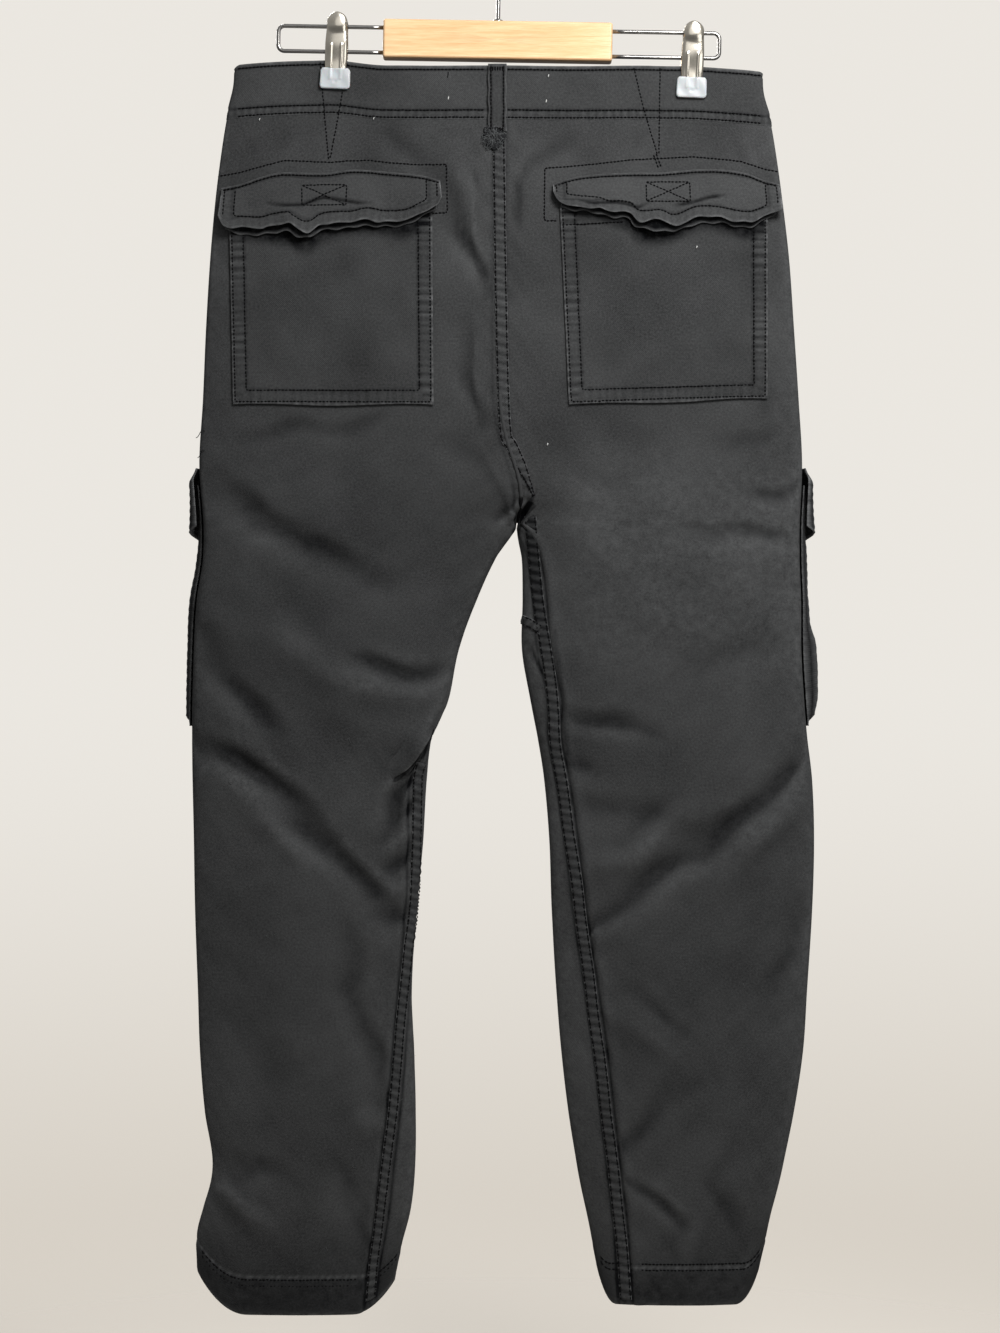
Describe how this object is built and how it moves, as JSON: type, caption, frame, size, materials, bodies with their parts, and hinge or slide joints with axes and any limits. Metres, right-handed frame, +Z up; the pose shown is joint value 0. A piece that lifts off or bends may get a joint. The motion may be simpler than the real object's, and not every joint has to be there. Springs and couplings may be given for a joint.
{
  "type": "cargo trousers on a clip hanger",
  "caption": "Straight-leg cotton twill cargo trousers with patch back pockets, flapped thigh pockets and belt loops, hung by the waistband from a clip hanger.",
  "frame": {"origin": "highest point of the inside of the hanger's hook, where the rail bears", "axes": "+Z up, -Y towards the back of the trousers, +X towards the wearer's right"},
  "size_m": [0.5292, 0.072, 1.1664],
  "materials": {
    "twill": "washed charcoal cotton twill, matte",
    "button": "satin",
    "wood": "smooth pale lacquered wood",
    "steel": "polished plated steel",
    "soft_tip": "milky translucent soft plastic"
  },
  "bodies": {
    "root": {"back_panel_left": "twill", "back_panel_right": "twill", "front_panel_left": "twill", "front_panel_right": "twill", "waistband": "twill", "back_pocket_left": "twill", "back_pocket_right": "twill", "back_flap_left": "twill", "back_flap_right": "twill", "cargo_pocket_left": "twill", "cargo_pocket_right": "twill", "cargo_flap_left": "twill", "cargo_flap_right": "twill", "belt_loop_center_back": "twill", "belt_loop_front_left": "twill", "belt_loop_front_right": "twill", "fly_placket": "twill", "waist_button": "button", "hanger_bar": "wood", "hanger_hook": "steel", "hanger_loop_left": "steel", "hanger_loop_right": "steel", "clip_left_back_jaw": "steel", "clip_left_front_jaw": "steel", "clip_right_back_jaw": "steel", "clip_right_front_jaw": "steel", "clip_left_spring": "steel", "clip_right_spring": "steel", "clip_left_back_tip": "soft_tip", "clip_left_front_tip": "soft_tip", "clip_right_back_tip": "soft_tip", "clip_right_front_tip": "soft_tip"}
  },
  "joints": []
}
